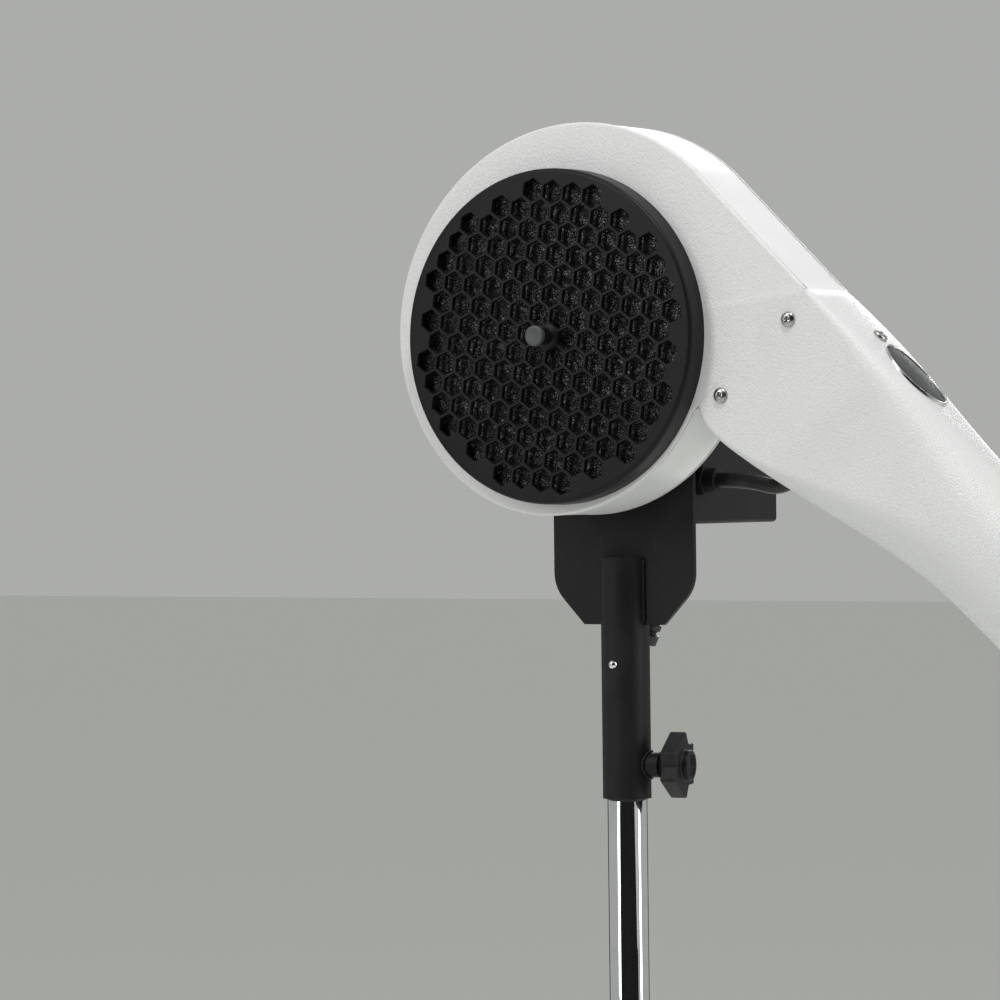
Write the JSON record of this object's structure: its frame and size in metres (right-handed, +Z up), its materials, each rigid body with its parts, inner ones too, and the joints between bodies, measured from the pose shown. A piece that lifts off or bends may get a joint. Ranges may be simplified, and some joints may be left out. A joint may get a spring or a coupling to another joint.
{
  "type": "stand hair dryer",
  "caption": "Blower dryer on a telescopic caster stand: snail housing with honeycomb intake, long downward nozzle, finned motor and switch box.",
  "frame": {"origin": "on the floor, on the axis of the column", "axes": "+Z up along the column, +X the side the nozzle points to, +Y the motor side"},
  "size_m": [0.7483, 0.607, 1.3092],
  "materials": {
    "white_shell": "pebble-textured white",
    "grille_black": "satin",
    "foam": "open-cell foam",
    "grey_knob": "satin",
    "motor_black": "semi-gloss",
    "bracket_black": "fine-texture powder coat",
    "chrome": "polished",
    "steel": "machined",
    "knob_black": "satin",
    "lead_black": "smooth",
    "key_green": "translucent",
    "key_smoke": "translucent",
    "badge_dark": "gloss",
    "mica": "board",
    "tyre_grey": "matt",
    "white_metal": "white paint"
  },
  "bodies": {
    "stand": {"column": "chrome", "base_hub": "bracket_black", "leg_1": "bracket_black", "leg_2": "bracket_black", "leg_3": "bracket_black", "leg_4": "bracket_black", "leg_5": "bracket_black"},
    "mast": {"pole": "chrome"},
    "head": {"cheek_intake": "white_shell", "cheek_motor": "white_shell", "scroll_band": "white_shell", "mouth_sleeve": "steel", "nozzle_shell": "white_shell", "outlet_ring": "white_shell", "outlet_guard": "steel", "heater_element": "mica", "nozzle_screws": "chrome", "badge": "badge_dark", "intake_grille": "grille_black", "foam_filter": "foam", "filter_knob": "grey_knob", "inlet_spider": "steel", "motor_disc": "white_metal", "disc_screws": "chrome", "motor_flange": "motor_black", "motor_body": "motor_black", "stator": "steel", "bearings": "steel", "fan_cowl": "motor_black", "terminal_block": "motor_black", "bracket_plate": "bracket_black", "bracket_bolts": "bracket_black", "collar_tube": "bracket_black", "stop_pin": "chrome", "clamp_boss": "bracket_black", "control_box": "bracket_black", "switch_panel": "knob_black", "box_gland": "knob_black", "lead_grommet": "lead_black", "heater_lead": "lead_black", "mains_gland": "knob_black", "strain_relief": "lead_black"},
    "fan_rotor": {"impeller": "steel", "motor_shaft": "steel", "rotor_core": "steel", "cooling_fan": "grille_black"},
    "power_key": {"rocker_power": "key_green"},
    "heat_key": {"rocker_heat": "key_smoke"},
    "head_clamp": {"clamp_knob": "knob_black"},
    "column_clamp": {"column_knob": "knob_black"},
    "caster_1": {"caster_fork_1": "knob_black"},
    "wheel_1": {"caster_wheel_1": "tyre_grey"},
    "caster_2": {"caster_fork_2": "knob_black"},
    "wheel_2": {"caster_wheel_2": "tyre_grey"},
    "caster_3": {"caster_fork_3": "knob_black"},
    "wheel_3": {"caster_wheel_3": "tyre_grey"},
    "caster_4": {"caster_fork_4": "knob_black"},
    "wheel_4": {"caster_wheel_4": "tyre_grey"},
    "caster_5": {"caster_fork_5": "knob_black"},
    "wheel_5": {"caster_wheel_5": "tyre_grey"}
  },
  "joints": [
    {"name": "mast_slide", "type": "slide", "parent": "stand", "child": "mast", "axis": [0, 0, 1], "range_m": [-0.15, 0.18]},
    {"name": "head_swivel", "type": "hinge", "parent": "mast", "child": "head", "pos_m": [0, 0, 0.95], "axis": [0, 0, 1], "range_deg": [-180, 180]},
    {"name": "fan_spin", "type": "hinge", "parent": "head", "child": "fan_rotor", "pos_m": [0, 0, 1.18], "axis": [0, 1, 0], "continuous": true},
    {"name": "power_rock", "type": "hinge", "parent": "head", "child": "power_key", "pos_m": [0.0149, 0.11505, 1.09215], "axis": [1, 0, 0], "range_deg": [-12, 0]},
    {"name": "heat_rock", "type": "hinge", "parent": "head", "child": "heat_key", "pos_m": [-0.0221, 0.11505, 1.09215], "axis": [1, 0, 0], "range_deg": [-12, 0]},
    {"name": "head_clamp_turn", "type": "hinge", "parent": "head", "child": "head_clamp", "pos_m": [0.02928, 0.00654, 0.9164], "axis": [0.9759, 0.2181, 0], "range_deg": [0, 720]},
    {"name": "column_clamp_turn", "type": "hinge", "parent": "stand", "child": "column_clamp", "pos_m": [0.03, 0, 0.532], "axis": [1, 0, 0], "range_deg": [0, 720]},
    {"name": "caster_swivel_1", "type": "hinge", "parent": "stand", "child": "caster_1", "pos_m": [0.22248, 0.16164, 0.06], "axis": [0, 0, 1], "continuous": true},
    {"name": "wheel_roll_1", "type": "hinge", "parent": "caster_1", "child": "wheel_1", "pos_m": [0.23623, 0.17163, 0.025], "axis": [-0.5878, 0.809, 0], "continuous": true},
    {"name": "caster_swivel_2", "type": "hinge", "parent": "stand", "child": "caster_2", "pos_m": [-0.08498, 0.26154, 0.06], "axis": [0, 0, 1], "continuous": true},
    {"name": "wheel_roll_2", "type": "hinge", "parent": "caster_2", "child": "wheel_2", "pos_m": [-0.09023, 0.27771, 0.025], "axis": [-0.9511, -0.309, 0], "continuous": true},
    {"name": "caster_swivel_3", "type": "hinge", "parent": "stand", "child": "caster_3", "pos_m": [-0.275, 0, 0.06], "axis": [0, 0, 1], "continuous": true},
    {"name": "wheel_roll_3", "type": "hinge", "parent": "caster_3", "child": "wheel_3", "pos_m": [-0.292, 0, 0.025], "axis": [0, -1, 0], "continuous": true},
    {"name": "caster_swivel_4", "type": "hinge", "parent": "stand", "child": "caster_4", "pos_m": [-0.08498, -0.26154, 0.06], "axis": [0, 0, 1], "continuous": true},
    {"name": "wheel_roll_4", "type": "hinge", "parent": "caster_4", "child": "wheel_4", "pos_m": [-0.09023, -0.27771, 0.025], "axis": [0.9511, -0.309, 0], "continuous": true},
    {"name": "caster_swivel_5", "type": "hinge", "parent": "stand", "child": "caster_5", "pos_m": [0.22248, -0.16164, 0.06], "axis": [0, 0, 1], "continuous": true},
    {"name": "wheel_roll_5", "type": "hinge", "parent": "caster_5", "child": "wheel_5", "pos_m": [0.23623, -0.17163, 0.025], "axis": [0.5878, 0.809, 0], "continuous": true}
  ]
}
